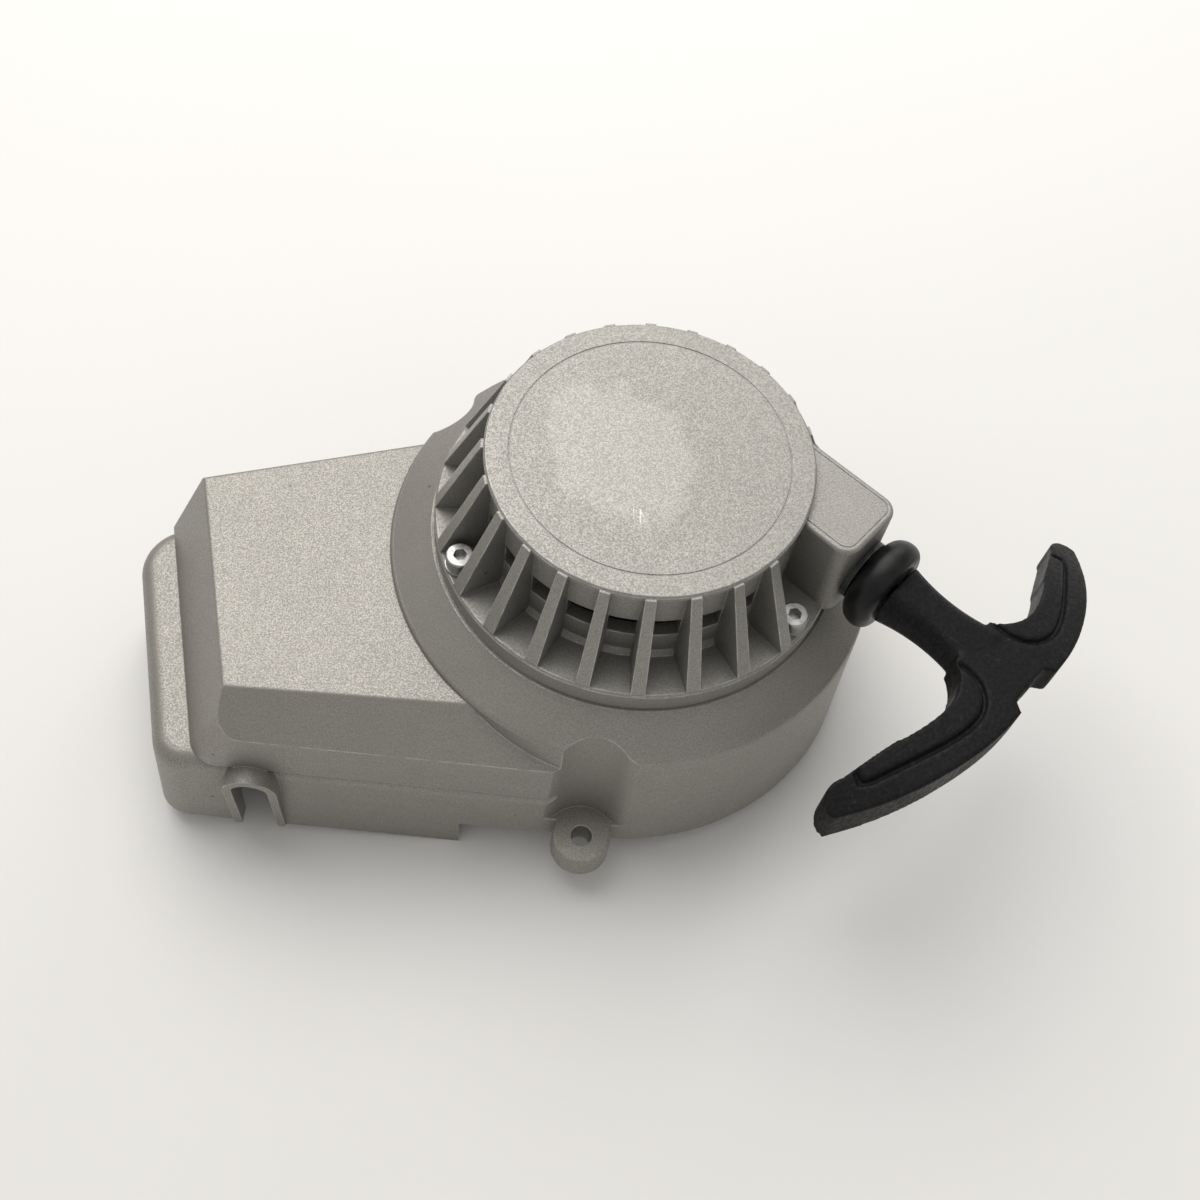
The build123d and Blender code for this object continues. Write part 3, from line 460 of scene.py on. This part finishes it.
CAST = (0.315, 0.301, 0.275)
CAP = (0.325, 0.315, 0.292)
cast = cast_material("cast_aluminium", CAST)
cap_cast = cast_material("cap_aluminium", CAP, crown=True)
zinc = zinc_material("zinc_steel")
cup_zinc = zinc_material("cup_steel", (0.52, 0.47, 0.36), 0.34)
bronze = bronze_material()
blued = spring_material()
nylon = nylon_material()
acetal = acetal_material()
rubber = rubber_material()
plastic = plastic_material()
braid = rope_material()
floor.data.materials.append(floor_material())

FINISH = {
    "cast_aluminium": cast,
    "cap_aluminium": cap_cast,
    "zinc_steel": zinc,
    "guide_bush": acetal,
    "guide_bronze": bronze,
    "spring_steel": blued,
    "reel_nylon": nylon,
    "rope": braid,
    "cup_steel": cup_zinc,
    "black_rubber": rubber,
    "black_plastic": plastic,
}
for subpart in frame["record"]["subparts"]:
    mesh = NODES[subpart["node"]].data
    mesh.materials.clear()
    mesh.materials.append(FINISH[subpart["material_slot"]])

# ---------------------------------------------------------------- handle
HANDLE_TWIST = math.radians(-3)
VOXEL = 0.36 * MM
handle_side = across * math.cos(HANDLE_TWIST) + Vector((0, 0, math.sin(HANDLE_TWIST)))
handle_up = pull.cross(handle_side)
# the line around each pad, in millimetres along the rope and out to the side
GROOVE = [
    (85.5, 7.9), (91.5, 8.4), (95.6, 11.8), (97.0, 17),
    (95.0, 26), (90.6, 36.5), (87.0, 43.6), (83.5, 43.2),
]
GROOVE_HALF = 0.55
GROOVE_DEPTH = 0.45
PAD_RAISE = 0.28
PAD_INNER = 7.9
PAD_OUTER = 44.0
GRIP_START = 82.0


def copy_of(node, name):
    obj = bpy.data.objects.new(name, NODES[node].data.copy())
    bpy.context.scene.collection.objects.link(obj)
    return obj


def apply_modifiers(obj):
    graph = bpy.context.evaluated_depsgraph_get()
    mesh = bpy.data.meshes.new_from_object(obj.evaluated_get(graph))
    obj.modifiers.clear()
    obj.data = mesh


def smooth_curve(points, steps=14):
    """Catmull-Rom points through a given line."""
    points = [np.array(p, float) for p in points]
    ends = [2 * points[0] - points[1]] + points + [2 * points[-1] - points[-2]]
    made = []
    for a, b, c, d in zip(ends, ends[1:], ends[2:], ends[3:]):
        for t in np.linspace(0, 1, steps, endpoint=False):
            made.append(0.5 * (2 * b + (c - a) * t + (2 * a - 5 * b + 4 * c - d) * t**2
                               + (3 * b - a - 3 * c + d) * t**3))
    return np.array(made + [points[-1]])


def distance_to_line(points, line):
    """Distance of each 2-D point to a polyline."""
    best = np.full(len(points), 1e9)
    for a, b in zip(line[:-1], line[1:]):
        d = b - a
        t = np.clip(((points - a) @ d) / max(d @ d, 1e-18), 0, 1)
        best = np.minimum(best, np.linalg.norm(points - (a + t[:, None] * d), axis=1))
    return best


def make_handle():
    """Moulded grip: the CAD solid with its edges rounded, then the pads and their groove pressed in."""
    obj = copy_of("handle", "handle_grip")
    weld = obj.modifiers.new("weld", "WELD")
    weld.merge_threshold = 0.005 * MM
    remesh = obj.modifiers.new("remesh", "REMESH")
    remesh.mode = "VOXEL"
    remesh.voxel_size = VOXEL
    soften = obj.modifiers.new("soften", "SMOOTH")
    soften.factor = 0.5
    soften.iterations = 7
    apply_modifiers(obj)
    mesh = obj.data
    count = len(mesh.vertices)
    points = np.empty((count, 3))
    normals = np.empty((count, 3))
    mesh.vertices.foreach_get("co", points.ravel())
    mesh.vertex_normals.foreach_get("vector", normals.ravel())
    local = points - np.array(rope_origin)
    along = local @ np.array(pull) / MM
    side = np.abs(local @ np.array(handle_side)) / MM
    facing = np.abs(normals @ np.array(handle_up))
    line = smooth_curve(GROOVE)
    plan = np.column_stack([along, side])
    near = distance_to_line(plan, line)
    groove = np.exp(-(near / GROOVE_HALF) ** 2) * GROOVE_DEPTH
    # the pad lies between the groove and the concave edge
    order = line[:, 1].argsort()
    level = np.interp(side, line[order, 1], line[order, 0])
    inside = np.clip((level - along) / 1.2, 0, 1)
    inside = inside * np.clip((side - PAD_INNER) / 1.5, 0, 1) * np.clip((PAD_OUTER - side) / 1.0, 0, 1)
    pad = PAD_RAISE * inside
    shift = (pad - groove) * np.clip((facing - 0.55) / 0.35, 0, 1)
    shift[along < GRIP_START] = 0.0
    points = points + normals * (shift * MM)[:, None]
    mesh.vertices.foreach_set("co", points.ravel())
    mesh.update()
    mesh.polygons.foreach_set("use_smooth", [True] * len(mesh.polygons))
    mesh.materials.clear()
    mesh.materials.append(plastic)
    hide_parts("handle")
    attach(obj, "handle")


make_handle()

# ---------------------------------------------------------------- rope
ROPE_R = 1.9 * MM
ROPE_RINGS = 150
ROPE_AROUND = 24


def make_rope():
    """Lead from the winding to the knot's seat, as a tube along the rope line."""
    low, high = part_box("rope_lead")
    corners = [Vector((x, y, rope_origin.z)) for x in (low.x, high.x) for y in (low.y, high.y)]
    # the box's corners stand out past the rope's ends by its width across the diagonal
    overhang = 2 * ROPE_R * abs(pull.x * pull.y)
    start = min(rope_distance(c) for c in corners) + overhang
    end = max(rope_distance(c) for c in corners) - overhang
    rings, around = ROPE_RINGS, ROPE_AROUND
    vertices, faces = [], []
    for i in range(rings + 1):
        centre = on_rope(start + (end - start) * i / rings)
        for k in range(around):
            a = 2 * math.pi * k / around
            radial = across * math.cos(a) + Vector((0, 0, math.sin(a)))
            vertices.append(centre + radial * ROPE_R)
    for i in range(rings):
        for k in range(around):
            j = (k + 1) % around
            faces.append((i * around + k, i * around + j, (i + 1) * around + j, (i + 1) * around + k))
    faces.append(tuple(reversed(range(around))))
    faces.append(tuple(rings * around + k for k in range(around)))
    rope = link_mesh("rope_braid", vertices, faces)
    rope.data.materials.append(braid)
    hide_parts("rope_lead")
    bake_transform(rope)


make_rope()

# ---------------------------------------------------------------- light
def area_light(name, position, target, size, power, color):
    """Round soft light, facing its target."""
    data = bpy.data.lights.new(name, "AREA")
    data.shape = "DISK"
    data.size = size
    data.energy = power
    data.color = color
    light = bpy.data.objects.new(name, data)
    light.location = position
    light.rotation_mode = "QUATERNION"
    light.rotation_quaternion = (Vector(target) - Vector(position)).to_track_quat("-Z", "Y")
    bpy.context.scene.collection.objects.link(light)


middle = Vector((-0.02, 0, 0.03))
up = Vector((0, 0, 1))
key_place = middle + view_away * 0.45 - view_right * 0.30 + up * 0.95
back_place = middle + view_away * 0.9 + view_right * 0.25 + up * 0.55
area_light("key", key_place, middle, 1.1, 9.0, (1.0, 0.985, 0.96))
area_light("back", back_place, middle, 0.6, 1.6, (1.0, 0.99, 0.98))
WORLD_STRENGTH = 0.50
world = bpy.data.worlds.new("studio")
world.use_nodes = True
background = world.node_tree.nodes["Background"]
background.inputs["Color"].default_value = (1.0, 0.985, 0.965, 1)
background.inputs["Strength"].default_value = WORLD_STRENGTH
bpy.context.scene.world = world
bpy.context.scene.view_settings.view_transform = "Standard"
bpy.context.scene.view_settings.look = "None"
